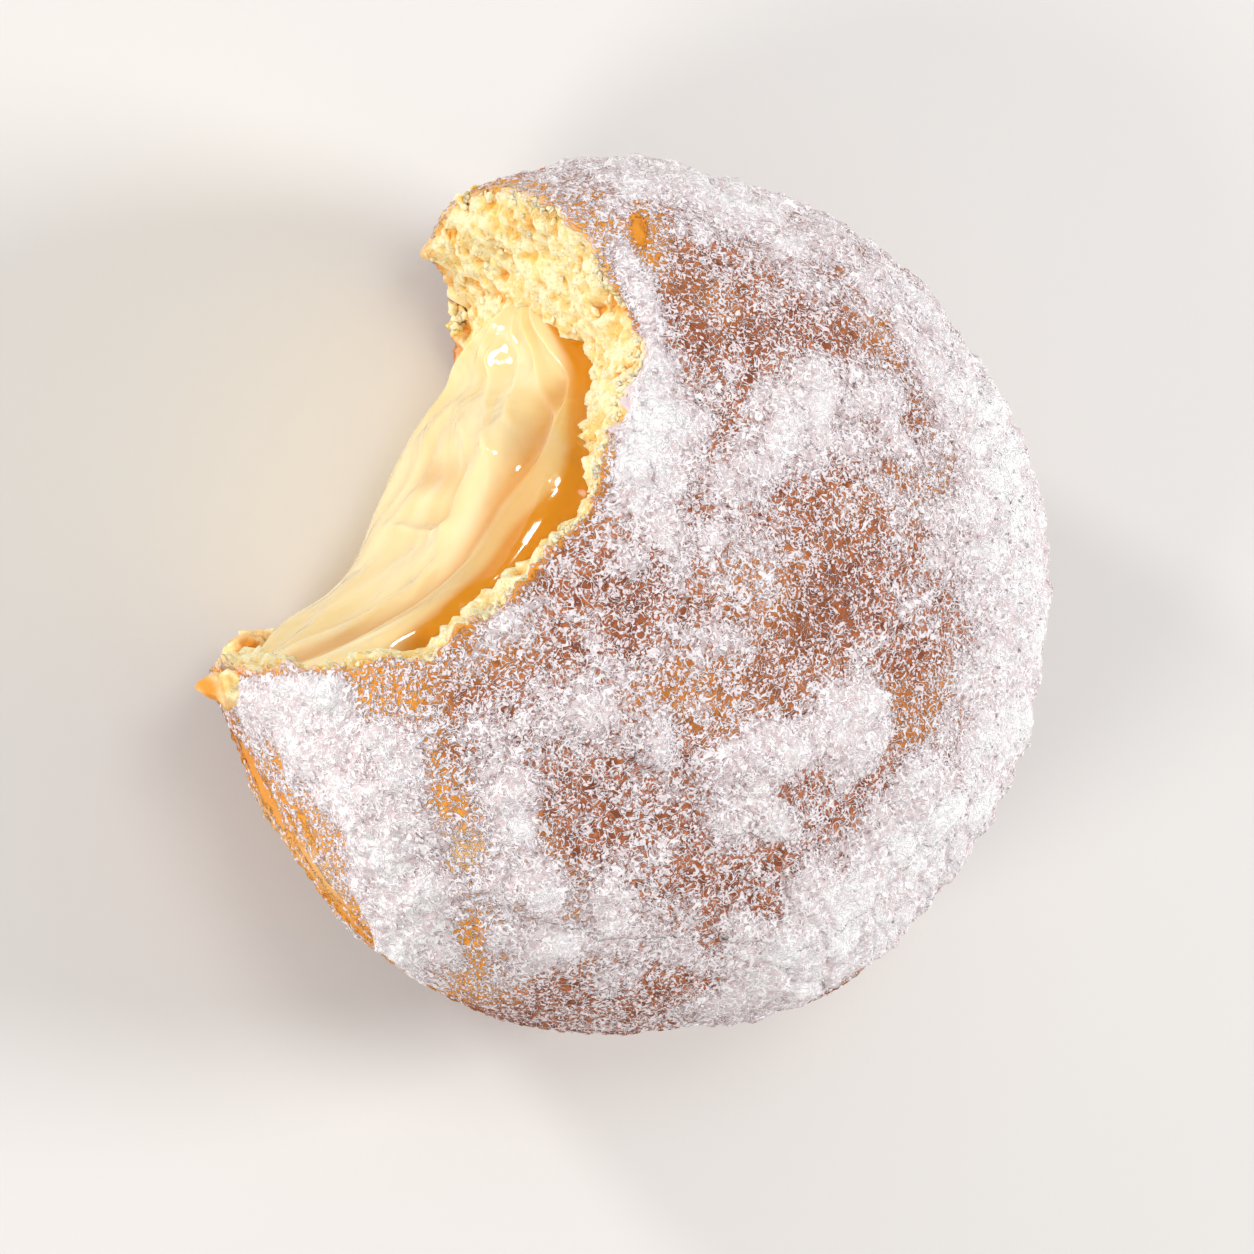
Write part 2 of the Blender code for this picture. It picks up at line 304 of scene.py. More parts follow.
def loft(rings):
    """Points and faces of a closed skin over rings of points of equal length."""
    count = len(rings[0])
    faces = []
    for r in range(len(rings) - 1):
        for i in range(count):
            j = (i + 1) % count
            faces.append((r * count + i, r * count + j, (r + 1) * count + j, (r + 1) * count + i))
    faces.append(tuple(reversed(range(count))))
    faces.append(tuple(range((len(rings) - 1) * count, len(rings) * count)))
    return np.concatenate(rings), faces


def new_object(name, points, faces):
    """An object from points in millimetres."""
    mesh = bpy.data.meshes.new(name)
    mesh.from_pydata((np.asarray(points) * MM).tolist(), [], faces)
    mesh.validate()
    made = bpy.data.objects.new(name, mesh)
    bpy.context.scene.collection.objects.link(made)
    return made


def combine(made, other, operation, keep_other=False):
    """Cuts made with other, or keeps what both hold."""
    modifier = made.modifiers.new("cut", "BOOLEAN")
    modifier.operation, modifier.object, modifier.solver = operation, other, "MANIFOLD"
    ready = made.evaluated_get(bpy.context.evaluated_depsgraph_get())
    mesh = bpy.data.meshes.new_from_object(ready)
    made.modifiers.clear()
    made.data = mesh
    if not keep_other:
        bpy.data.objects.remove(other)


def places(made):
    co = np.empty(len(made.data.vertices) * 3, np.float32)
    made.data.vertices.foreach_get("co", co)
    return co.reshape(-1, 3).astype(float) / MM


def give(made, **values):
    """Stores a number for each point, under each name."""
    for name, numbers in values.items():
        made.data.attributes.new(name, "FLOAT", "POINT").data.foreach_set("value", numbers.astype(np.float32))


def bite_cutter(step, height_step, extra, rough):
    """The bite as a closed barrel round its own axis."""
    near = np.arange(WALL_FROM, WALL_TO, math.degrees(step / BITE_RADIUS))
    far = np.linspace(WALL_TO, 360 + WALL_FROM, 14)[:-1]
    bearings = np.concatenate([near, far])
    heights = np.arange(-8, 56, height_step)
    b, z = np.meshgrid(bearings, heights)
    b, z = b.ravel(), z.ravel()
    radius = wall_radius(b, z)
    p = round_bite(b, radius, z)
    radius = radius + crags_at(p) + extra
    if rough:
        torn = 0.75 * clumps_at(p, 3.0, 4.2) + 0.42 * noise_at(p, 1.3, 9.4) + 0.2 * noise_at(p, 0.75, 3.3)
        torn += 0.8 * pores_at(p, 2.6, 0.42, 2.0) + 0.4 * pores_at(p, 1.3, 0.45, 6.0)
        radius += torn * (b < WALL_TO)
    else:
        # below the skin the coat ends further back, so that the torn crumb hides its cut face
        radius += 2.7 * ease(skin_depth(p), 0.4, 1.4)
    p = round_bite(b, radius, z).reshape(len(heights), len(bearings), 3)
    points, faces = loft(list(p))
    return new_object("bite", points, faces)


def rays_of(points):
    rays = np.tan(points * math.pi / 4)
    rays /= np.linalg.norm(rays, axis=1)[:, None]
    rays[:, 2] *= 0.75
    return rays


def skin_depth(p):
    """How far points lie below the bare skin, in millimetres, measured towards the middle of the waist."""
    from_middle = p - (0, 0, WAIST)
    return np.linalg.norm(skin(from_middle), axis=1) - np.linalg.norm(from_middle, axis=1)


def give_crust(made):
    """Stores what the dough's finish reads: how deep each point lies, its sugar, browning, how far it lies in
    a recess, which the finish darkens as painted shade, and its rind.
    """
    p = places(made)
    depth = skin_depth(p)
    gap, _ = behind_wall(p)
    low = 1 - ease(p[:, 2], 8, 27)
    rind = np.exp(-np.clip(depth, 0, None) / (0.3 + 0.7 * low)) * (0.3 + 0.7 * low)
    give(made, depth=depth, cover=sugar_cover(p), toast=toast_at(p), pit=gap - crags_at(p), rind=rind)


def make_dough():
    sides = [(1.0, z) for z in np.linspace(0.985, -1, 76)[:-1]]
    floor = [(s, -1.0) for s in (1.0, 0.94, 0.86, 0.76, 0.64, 0.5, 0.34, 0.16)]
    cube, faces = plate(100, sides + floor)
    p = skin(rays_of(cube))
    out = p / np.linalg.norm(p, axis=1)[:, None]
    # the fried skin's small wrinkles
    p += out * (0.10 * noise_at(p, 2.0, 1.0) + 0.07 * noise_at(p, 0.9, 2.0))[:, None]
    p[:, 2] = np.maximum(p[:, 2] + WAIST, 0)
    dough = new_object("dough_body", p, faces)
    combine(dough, bite_cutter(0.36, 0.38, 0.0, True), "DIFFERENCE")
    give_crust(dough)
    return dough


def make_sugar():
    """The coat of sugar, as an upper and a lower piece that meet face to face."""
    sides = [(1.0, z) for z in np.linspace(0.99, -0.45, 100)] + [(1.0, z) for z in np.linspace(-0.5, -0.95, 6)]
    floor = [(s, -1.0) for s in (0.97, 0.8, 0.5)]
    cube, faces = plate(240, sides + floor)
    p = skin(rays_of(cube))
    out = p / np.linalg.norm(p, axis=1)[:, None]
    cover = sugar_cover(p + (0, 0, WAIST))
    p += out * sugar_height(p, cover, sugar_lumps(p, cover))[:, None]
    p[:, 2] = np.maximum(p[:, 2] + WAIST, 0.4)
    coat = new_object("sugar_top", p, faces)
    combine(coat, bite_cutter(1.2, 0.6, 0.3, False), "DIFFERENCE")
    lower = bpy.data.objects.new("sugar_side", coat.data.copy())
    bpy.context.scene.collection.objects.link(lower)
    corners = [(x, y, z) for z in (-5, SEAM) for y in (-60, 60) for x in (-60, 60)]
    box_faces = [(0, 2, 3, 1), (4, 5, 7, 6), (0, 1, 5, 4), (2, 6, 7, 3), (0, 4, 6, 2), (1, 3, 7, 5)]
    box = new_object("below_seam", corners, box_faces)
    combine(coat, box, "DIFFERENCE", keep_other=True)
    combine(lower, box, "INTERSECT")
    for piece in (coat, lower):
        p = places(piece)
        cover = sugar_cover(p)
        give(piece, cover=cover, toast=toast_at(p), lump=sugar_lumps(p - (0, 0, WAIST), cover))
    return coat, lower


# ---------------------------------------------------------------- small things, many in one mesh
def rod():
    """A short rod with five sides and blunt ends."""
    turns = np.radians([90, 162, 234, 306, 18])
    rings = [(x, r * math.cos(t), r * math.sin(t)) for x, r in ((0.6, 0.85), (-0.6, 0.85)) for t in turns]
    faces = []
    for k in range(5):
        a, b = 2 + k, 2 + (k + 1) % 5
        faces += [(0, a, b), (a, a + 5, b + 5), (a, b + 5, b), (1, b + 5, a + 5)]
    return np.array([(1, 0, 0), (-1, 0, 0)] + rings), np.array(faces)


def ball(level):
    """A ball of triangles: an octahedron with every edge halved level times."""
    points = [(1, 0, 0), (-1, 0, 0), (0, 1, 0), (0, -1, 0), (0, 0, 1), (0, 0, -1)]
    faces = [(0, 2, 4), (2, 1, 4), (1, 3, 4), (3, 0, 4), (2, 0, 5), (1, 2, 5), (3, 1, 5), (0, 3, 5)]
    for _ in range(level):
        known, finer = {}, []

        def half(a, b):
            key = (min(a, b), max(a, b))
            if key not in known:
                middle = np.add(points[a], points[b])
                points.append(tuple(middle / np.linalg.norm(middle)))
                known[key] = len(points) - 1
            return known[key]

        for a, b, c in faces:
            ab, bc, ca = half(a, b), half(b, c), half(c, a)
            finer += [(a, ab, ca), (b, bc, ab), (c, ca, bc), (ab, bc, ca)]
        faces = finer
    return np.array(points), np.array(faces)


def scattered(name, middles, normals, radii, shape, rng, lumpy=0.0):
    """Copies of one shape at middles, each turned at random round its normal. radii gives three sizes each."""
    count = len(middles)
    tangent = np.cross(normals, rng.normal(size=(count, 3)))
    tangent /= np.linalg.norm(tangent, axis=1)[:, None]
    side = np.cross(normals, tangent)
    points, faces = shape
    local = np.repeat(points[None], count, 0)
    if lumpy:
        offsets = np.repeat(rng.uniform(0, 90, (count, 1, 3)), len(points), 1)
        swell = 1 + lumpy * noise_at((local * 1.1 + offsets).reshape(-1, 3), 1.0).reshape(count, -1, 1)
        local = local * swell
    local = local * radii[:, None, :]
    world = middles[:, None] + local @ np.stack([tangent, side, normals], 1)
    starts = np.arange(count)[:, None, None] * len(points)
    made = new_object(name, world.reshape(-1, 3), (faces[None] + starts).reshape(-1, 3).tolist())
    return made, np.tile(points[:, 2], count)


def make_grains(name, seed, count):
    """Rods and grains of sugar that lie on the coat."""
    rng = np.random.default_rng(seed)
    rays = rng.normal(size=(count * 3, 3))
    rays /= np.linalg.norm(rays, axis=1)[:, None]
    rays = rays[rays[:, 2] > -0.4]
    rays[:, 2] *= 0.75
    p = skin(rays)
    out = p / np.linalg.norm(p, axis=1)[:, None]
    out[:, 2] *= 1.5
    out /= np.linalg.norm(out, axis=1)[:, None]
    world = p + (0, 0, WAIST)
    cover = sugar_cover(world)
    gap, _ = behind_wall(world)
    chance = np.clip(0.1 + 1.2 * cover, 0, 0.75) - 0.55 * ease(cover, 0.7, 1.2)
    keep = (rng.random(len(p)) < chance) & (gap > crags_at(world) + 0.5)
    p, out, cover, world = (a[keep][:count] for a in (p, out, cover, world))
    lift = np.maximum(sugar_height(p, cover, sugar_lumps(p, cover)), 0.0)
    width = rng.uniform(0.10, 0.20, len(p))
    radii = np.stack([width * rng.uniform(1.0, 2.0, len(p)), width, width * rng.uniform(0.7, 1.0, len(p))], 1)
    grains, local = scattered(name, world + out * lift[:, None], out, radii, rod(), rng)
    give(grains, cover=np.repeat(cover, len(local) // len(p)))
    return grains


LIP_CRUMBS, WALL_CRUMBS = 480, 220
# Tufts of crumb that stand out from the bite's wall: middle, reach, number of lumps
TUFTS = (
    ((-15.6, 40.6, 21.5), 1.1, 16),
    ((-12.6, 30.4, 6.5), 1.1, 14),
    ((-36.0, -5.6, 10.5), 1.2, 14),
    ((-37.0, -8.4, 24.5), 1.2, 14),
)


def make_crumbs():
    """Lumps of torn crumb: along the bite's lip, over its open wall and in a few tufts."""
    rng = np.random.default_rng(5)
    lip = rng.uniform(-98, 36, LIP_CRUMBS)
    wall = rng.uniform(-16, 49, WALL_CRUMBS)
    top = lip_height(lip)
    wall_top = lip_height(wall)
    z = np.concatenate([
        top - 0.2 - np.abs(rng.normal(size=len(lip))) * 1.1,
        WAIST + (wall_top - WAIST) * rng.uniform(-0.95, 0.97, len(wall)),
    ])
    bearing = np.concatenate([lip, wall])
    p = round_bite(bearing, wall_radius(bearing, z), z)
    p = round_bite(bearing, wall_radius(bearing, z) + crags_at(p) + 0.4, z)
    width = np.concatenate([rng.uniform(0.2, 0.45, len(lip)), rng.uniform(0.2, 0.5, len(wall))])
    near = skin_depth(p) > 0.15
    p, bearing, width = p[near], bearing[near], width[near]
    out = np.stack([-np.cos(np.radians(bearing)), -np.sin(np.radians(bearing)), np.full(len(p), 0.4)], 1)
    for middle, reach, count in TUFTS:
        p = np.concatenate([p, np.array(middle) + rng.normal(size=(count, 3)) * reach * 0.45])
        out = np.concatenate([out, rng.normal(size=(count, 3)) + (-0.6, -0.2, 0.6)])
        width = np.concatenate([width, rng.uniform(0.3, 0.65, count)])
    out /= np.linalg.norm(out, axis=1)[:, None]
    count = len(p)
    radii = np.stack([width * rng.uniform(0.9, 1.6, count), width * rng.uniform(0.6, 1.0, count), width], 1)
    crumbs, local = scattered("crumb_lumps", p, out, radii, ball(2), rng, lumpy=0.5)
    p = places(crumbs)
    ones = np.ones(len(p))
    # painted shade: each lump is deeper orange on its underside and in its hollows
    pit = 0.25 + 0.5 * noise_at(p, 1.6, 3.0) - 0.8 * local
    give(crumbs, depth=ones * 2, cover=-ones, toast=toast_at(p), rind=ones * 0, pit=pit)
    return crumbs


# Torn bits of crust at the bite's near end: root, tip, width, thickness
SHARDS = (
    ((-38.2, -10.4, 27.0), (-44.4, -9.9, 23.8), 3.4, 1.9),
    ((-36.4, -8.6, 25.0), (-42.0, -8.8, 24.6), 2.8, 1.7),
    ((-32.6, -5.8, 9.0), (-38.4, -5.2, 10.8), 4.0, 2.2),
    ((-31.4, -4.2, 9.5), (-36.4, -3.4, 9.4), 2.6, 1.8),
)


def make_shards():
    unit, faces = ball(4)
    all_points, all_faces = [], []
    for number, (root, tip, width, thickness) in enumerate(SHARDS):
        root, tip = np.array(root), np.array(tip)
        along = tip - root
        side = np.cross(along, (0, 0, 1))
        side /= np.linalg.norm(side)
        up = np.cross(side, along)
        up /= np.linalg.norm(up)
        x, y, z = unit.T
        share = (x + 1) / 2
        taper = 1 - 0.25 * share
        p = root + np.outer(share, along) + np.outer(np.sign(y) * np.abs(y) ** 0.8 * width / 2 * taper, side)
        p += np.outer(np.sign(z) * np.abs(z) ** 0.6 * thickness / 2 * taper + 0.5 * (1 - x * x), up)
        p += unit * (0.55 * noise_at(p, 1.8, number * 7.0) + 0.3 * noise_at(p, 0.8, number + 3.0))[:, None]
        all_faces += (faces + sum(len(a) for a in all_points)).tolist()
        all_points.append(p)
    shards = new_object("crust_shards", np.concatenate(all_points), all_faces)
    p = places(shards)
    torn = noise_at(p, 2.0, 6.0)
    give(shards, depth=0.25 + torn * 0.5, cover=-1 + 0 * torn, pit=noise_at(p, 1.0, 2.0) * 0.6,
         toast=np.clip(0.26 + 0.3 * noise_at(p, 2.2, 1.0), 0.05, 1), rind=ease(torn, 0.6, -0.4) * 0.8)
    return shards


# ---------------------------------------------------------------- custard
# The far end is blunter than the solid's, and rounder
BLUNTNESS_FAR, ROUNDER_FAR = 9.0, 0.8
# Folds of the custard's torn face:
# course as (bearing, angle of the section) pairs, half width in degrees, height
FOLDS = (
    (((-84, 15), (-55, 21), (-34, 27), (-22, 36), (-8.5, 49), (-3, 56)), 7.5, -1.3),
    (((-84, 5), (-55, 11), (-34, 13), (-10, 33), (0, 42)), 8.0, 0.7),
    (((-48, -4), (-24, 10), (-6, 20), (7, 30)), 4.2, -0.45),
    (((-40, -18), (-16, -4), (0, 6), (7, 14)), 4.2, -0.45),
    (((-84, -4), (-68, 0), (-52, 6), (-44, 12)), 4.0, -0.6),
    (((-84, 26), (-66, 30), (-56, 34)), 5.0, -0.5),
    (((-84, 38), (-72, 44), (-50, 48)), 9.0, 0.5),
    (((-66, 68), (-45, 73), (-22, 77), (-8, 80)), 6.5, -1.5),
    # narrow strings that catch the light
    (((-16, 34), (-5, 30), (9, 24)), 2.6, 0.55),
    (((-12, 48), (-2, 43), (10, 38)), 2.8, 0.6),
    (((-6, 60), (3, 56), (11, 52)), 2.8, 0.6),
    (((-24, 22), (-12, 18), (3, 12)), 2.6, 0.5),
    (((-31, 10), (-20, 8), (-8, 0)), 2.6, 0.35),
    (((-36, 20), (-28, 24), (-20, 30)), 2.4, 0.4),
    (((-56, 15), (-46, 11), (-37, 10)), 2.6, 0.4),
    (((-74, 14), (-64, 11), (-57, 9)), 2.6, 0.4),
)
# Dents and ridges that lie across: bearing, its spread, angle, its spread, height
SPOTS = (
    (-28, 5.0, -3, 9, -0.9),
    (-41.5, 1.6, -2, 13, 0.7),
    (-37.5, 2.4, 2, 12, -0.4),
    (3, 9, 50, 34, 1.2),
    (2, 3.0, 14, 7, 0.6),
    (-9, 2.5, 4, 7, 0.5),
)
FLOW = FOLDS[0][0]


def course(pairs, bearing):
    return np.interp(bearing, [b for b, a in pairs], [a for b, a in pairs])


def custard_relief(bearing, angles):
    """Folds, streaks and dents of the custard's face, in millimetres, how much golden painted shade its
    hollows and the channel under the crumb get, and where its inner pool lies, which is darkened as painted
    shade too.
    """
    shape = np.zeros(len(angles))
    gold = np.zeros(len(angles))
    for pairs, width, height in FOLDS:
        start, stop = pairs[0][0], pairs[-1][0]
        ends = ease(bearing, start - 6, start + 4) * (1 - ease(bearing, stop - 4, stop + 5))
        fold = bell(turn_gap(angles, course(pairs, bearing)), 0, width) * ends
        shape += height * fold
        # painted shade, golden, in the hollows of the folds
        gold += max(-height, 0) * fold / 2.3
    for at, spread, angle, reach, height in SPOTS:
        spot = bell(bearing, at, spread) * bell(turn_gap(angles, angle), 0, reach)
        shape += height * spot
        gold += max(-height, 0) * spot * 0.5
    across = turn_gap(angles, course(FLOW, bearing))
    along = math.radians(bearing) * BITE_RADIUS
    # the inner pool, which the finish darkens as painted shade
    pool = ease(across, 2, 12) * (1 - ease(across, 44, 60)) * ease(bearing, -72, -50)
    calm = 1 - 0.9 * pool

    def streaks(length, width, shift):
        rows = np.stack([np.full(len(angles), along / length), across / width, np.full(len(angles), shift)], 1)
        return np.array([noise.noise(v) for v in rows.tolist()])

    # painted shade, golden, along the upper side and in the channel under the crumb's lip
    gold += 1.3 * ease(angles - 12 * ease(bearing, -40, -26), 42, 62) * ease(bearing, -75, -50)
    gold += 0.4 * ease(angles, 15, 50) * bell(bearing, -38, 18)
    shape += calm * (1.2 * streaks(12, 17, 0.5) + 0.3 * streaks(7, 9, 7.7))
    return shape, np.clip(gold, 0, 1), pool


def boxed(x, squareness):
    return np.sign(x) * np.abs(x) ** (2 / squareness)


def custard_section(share, angles):
    """One closed section of the custard, as in the solid, with the relief of its torn face."""
    bearing = CUSTARD_FROM + (CUSTARD_TO - CUSTARD_FROM) * share
    blunt = max(1 - abs(2 * share - 1) ** (BLUNTNESS if share < 0.5 else BLUNTNESS_FAR), 0.0) ** 0.5
    rim = round_bite(bearing, wall_radius(bearing, WAIST), 0)
    full = max(1 - (math.hypot(rim[0], rim[1]) / RADIUS) ** FULLNESS, 0.0) ** (1 / FULLNESS)
    drop = ease(bearing, TOP_DROPS_FROM, CUSTARD_TO)
    rise = ease(bearing, FLOOR_RISES_FROM, CUSTARD_TO)
    top = WAIST + TOP * full - CRUMB_ABOVE - (CRUMB_ABOVE_TIP - CRUMB_ABOVE) * drop
    top += 1.3 * bell(bearing, -23, 11) + 4.5 * bell(bearing, 5, 10)
    bottom = max(WAIST - KEEL * full, 0.0) + CRUMB_BELOW + (CRUMB_BELOW_TIP - CRUMB_BELOW) * rise
    middle, half = (top + bottom) / 2, (top - bottom) / 2 * blunt
    out = SEAT + BULGE_LEAST + (BULGE_MOST - BULGE_LEAST) * bell(bearing, BULGE_AT, BULGE_SPREAD)
    squareness = SQUARENESS - ROUNDER_FAR * ease(bearing, -30, 0)
    c, s = (boxed(part(np.radians(angles)), squareness) for part in (np.cos, np.sin))
    z = middle + half * s
    inwards = np.where(c > 0, out * blunt * c * (1 - SAG * s), POCKET_DEPTH * blunt * c)
    relief, gold, pool = custard_relief(bearing, angles)
    # how far round the section each point lies, and how far along the bulge
    arc = np.concatenate([[0], np.cumsum(np.hypot(np.diff(inwards), np.diff(z)))])
    across = arc - np.interp(course(FLOW, bearing), angles, arc)
    along = np.full(len(angles), math.radians(bearing) * BITE_RADIUS)
    face = np.where(c > 0, np.minimum(1, np.abs(c) * 2.2), 0) * blunt
    inwards = inwards + face * relief
    return round_bite(bearing, wall_radius(bearing, z) + SEAT - inwards, z), gold, pool, along, across


def make_custard():
    # closer together where a squarish section would stretch them
    t = np.linspace(0, 1, 94)
    quarter = 90 * t**1.5 / (t**1.5 + (1 - t) ** 1.5)
    back = np.linspace(90, 270, 22)[1:-1]
    angles = np.concatenate([-quarter[:0:-1], quarter, back])
    shares = np.linspace(0, 1, 226)[1:-1]
    shares = 0.55 * shares + 0.45 * (1 - np.cos(np.pi * shares)) / 2
    sections = [custard_section(share, angles) for share in shares]
    points, faces = loft([s[0] for s in sections])
    custard = new_object("custard_body", points, faces)
    gold, pool, along, across = (np.concatenate([s[i] for s in sections]) for i in (1, 2, 3, 4))
    give(custard, gold=gold, pool=pool, along=along, across=across)
    return custard


# ---------------------------------------------------------------- materials
class Look:
    """A Principled material with a few shorthands for its nodes."""

    def __init__(self, name):
        self.material = bpy.data.materials.new(name)
        self.material.use_nodes = True
        self.tree = self.material.node_tree
        self.shader = self.tree.nodes["Principled BSDF"]
        self.spot = self.tree.nodes.new("ShaderNodeTexCoord").outputs["Object"]

    def put(self, socket, value):
        if isinstance(value, bpy.types.NodeSocket):
            self.tree.links.new(value, socket)
        elif value is not None:
            socket.default_value = value

    def set(self, **values):
        for name, value in values.items():
            self.put(self.shader.inputs[name.replace("_", " ")], value)

    def attribute(self, name):
        node = self.tree.nodes.new("ShaderNodeAttribute")
        node.attribute_name = name
        return node.outputs["Fac"]

    def math(self, kind, a, b=None):
        node = self.tree.nodes.new("ShaderNodeMath")
        node.operation = kind
        self.put(node.inputs[0], a)
        self.put(node.inputs[1], b)
        return node.outputs[0]

    def sum(self, *terms):
        """Adds terms, each a socket or a (socket, factor) pair, or a number."""
        total = None
        for term in terms:
            if isinstance(term, tuple):
                term = self.math("MULTIPLY", term[0], term[1])
            total = term if total is None else self.math("ADD", total, term)
        return total

    def ramp(self, value, low, high, to_low=0.0, to_high=1.0):
        node = self.tree.nodes.new("ShaderNodeMapRange")
        node.interpolation_type = "SMOOTHSTEP"
        for socket, v in zip(node.inputs, (value, low, high, to_low, to_high)):
            self.put(socket, v)
        return node.outputs[0]

    def mix(self, share, a, b):
        node = self.tree.nodes.new("ShaderNodeMix")
        node.data_type = "RGBA"
        self.put(node.inputs[0], share)
        self.put(node.inputs[6], a)
        self.put(node.inputs[7], b)
        return node.outputs[2]

    def noise(self, wave_mm, detail=2.0, distortion=0.0, rough=0.5, spot=None):
        node = self.tree.nodes.new("ShaderNodeTexNoise")
        self.put(node.inputs["Vector"], spot or self.spot)
        scale = 1 / wave_mm if spot else 1 / (wave_mm * MM)
        values = {"Scale": scale, "Detail": detail, "Distortion": distortion, "Roughness": rough}
        for name, value in values.items():
            node.inputs[name].default_value = value
        return node.outputs["Fac"]

    def strands(self, wave_mm, distortion, half=0.05):
        """1 along winding strands."""
        off = self.math("ABSOLUTE", self.math("SUBTRACT", self.noise(wave_mm, 1, distortion), 0.5))
        return self.ramp(off, half, half * 0.2)

    def cells(self, wave_mm):
        node = self.tree.nodes.new("ShaderNodeTexVoronoi")
        self.put(node.inputs["Vector"], self.spot)
        node.inputs["Scale"].default_value = 1 / (wave_mm * MM)
        return node.outputs["Distance"]

    def bump(self, height, depth_mm, strength=1.0, under=None):
        node = self.tree.nodes.new("ShaderNodeBump")
        node.inputs["Distance"].default_value = depth_mm * MM
        node.inputs["Strength"].default_value = strength
        self.put(node.inputs["Height"], height)
        self.put(node.inputs["Normal"], under)
        return node.outputs[0]


PALE_CRUST, GOLD_CRUST = rgb(246, 210, 150), rgb(236, 154, 50)
# The dark crust colour serves for dark specks and also as painted shade between the strands of sugar
BROWN_CRUST, DARK_CRUST_AND_SHADE = rgb(200, 120, 76), rgb(132, 70, 40)
SUGAR_PURE, SUGAR_WHITE, SUGAR_THIN = rgb(253, 251, 251), rgb(244, 238, 240), rgb(234, 215, 217)
SUGAR_SHADE = rgb(182, 158, 160)
# The crumb's deep colour is partly its own tone and partly painted shade; its pore colour is painted shade in
# pores, recesses and under the lumps
CRUMB_PALE, CRUMB_DEEP_AND_SHADE, CRUMB_PORE_SHADE = rgb(255, 238, 194), rgb(255, 218, 144), rgb(250, 176, 64)


def crust_colour(look, toast, body=None):
    brown = look.mix(look.ramp(look.noise(1.6, 3), 0.4, 0.7), BROWN_CRUST, DARK_CRUST_AND_SHADE)
    warm = look.mix(look.ramp(toast, 0.45, 0.85), GOLD_CRUST, brown)
    colour = look.mix(look.ramp(toast, 0.1, 0.45), PALE_CRUST, warm)
    if body is None:
        return colour
    # painted shade: the pits between the strands of sugar are darkened towards the dark crust colour
    pit = look.math("MULTIPLY", look.ramp(body, 0.36, 0.16), look.ramp(toast, 0.4, 0.8))
    return look.mix(look.math("MULTIPLY", pit, 0.6), colour, DARK_CRUST_AND_SHADE)


def dusting(look, cover, lump=None):
    """How much sugar shows at each place, with the strands and specks that the dusting breaks into."""
    worm = look.math("MAXIMUM", look.strands(1.25, 1.2), look.math("MULTIPLY", look.strands(0.8, 0.8), 0.8))
    fine = look.noise(0.55, 2, 0.8, 0.5)
    body = look.sum(cover, (worm, 0.60), (fine, 0.75), -0.73)
    if lump is not None:
        body = look.sum(body, (lump, 0.35))
    return body, worm, fine


def dough_look():
    look = Look("dough")
    depth, cover, toast, pit, rind = (look.attribute(n) for n in ("depth", "cover", "toast", "pit", "rind"))
    body, _, fine = dusting(look, cover)
    dust = look.ramp(body, 0.40, 0.52)
    skin_colour = look.mix(dust, crust_colour(look, toast), SUGAR_THIN)
    fluff = look.noise(1.8, 4, 0.8)
    # painted shade: the crumb turns deeper and orange in recesses behind the wall and in small pores; the
    # fluff noise varies its tone at random
    crumb = look.mix(look.ramp(look.sum(fluff, (pit, -0.25)), 0.35, 0.6), CRUMB_DEEP_AND_SHADE, CRUMB_PALE)
    crumb = look.mix(look.ramp(look.sum(pit, (fluff, -1.0)), -0.3, 0.7), crumb, CRUMB_PORE_SHADE)
    crumb = look.mix(look.math("MULTIPLY", look.ramp(look.cells(0.9), 0.35, 0.1), 0.4), crumb, CRUMB_PORE_SHADE)
    crumb = look.mix(rind, crumb, look.mix(look.ramp(toast, 0.2, 0.8), GOLD_CRUST, BROWN_CRUST))
    inside = look.ramp(depth, 0.12, 0.4)
    look.set(
        Base_Color=look.mix(inside, skin_colour, crumb),
        Roughness=look.ramp(look.math("MAXIMUM", dust, inside), 0, 1, 0.5, 0.88),
        Subsurface_Weight=look.ramp(inside, 0, 1, 0.1, 0.7),
        Subsurface_Radius=(1.0, 1.0, 1.0),
        Subsurface_Scale=0.6 * MM,
        Specular_IOR_Level=0.3,
    )
    crust_bump = look.bump(look.sum(fine, dust), 0.16)
    look.set(Normal=look.bump(look.math("MULTIPLY", look.noise(0.8, 3, 0.8), inside), 0.35, 0.9, crust_bump))
    return look.material


def sugar_look():
    look = Look("sugar")
    cover, toast, lump = (look.attribute(n) for n in ("cover", "toast", "lump"))
    body, worm, fine = dusting(look, cover, lump)
    heap = look.sum(body, (lump, 0.4))
    white = look.mix(look.ramp(heap, 0.5, 1.0), SUGAR_THIN, SUGAR_WHITE)
    white = look.mix(look.ramp(heap, 1.0, 1.3), white, SUGAR_PURE)
    # painted shade darkens the grooves between the strands
    between = look.ramp(look.sum(worm, fine), 0.75, 0.35)
    groove_shade = look.math("MULTIPLY", between, look.ramp(heap, 1.2, 0.75, 0.1, 1.0))
    white = look.mix(look.math("MULTIPLY", groove_shade, 0.45), white, SUGAR_SHADE)
    shown = look.ramp(body, 0.36, 0.48)
    look.set(
        Base_Color=look.mix(shown, crust_colour(look, toast, body), white),
        Roughness=0.85,
        Specular_IOR_Level=0.35,
        Subsurface_Weight=0.1,
        Subsurface_Radius=(1.0, 0.85, 0.75),
        Subsurface_Scale=0.4 * MM,
    )
    thin = look.ramp(body, 1.2, 0.6, 0.3, 1.0)
    raised = look.sum(look.ramp(body, 0.30, 0.60), look.math("MULTIPLY", worm, thin), (fine, 0.6))
    look.set(Normal=look.bump(raised, 0.30))
    return look.material


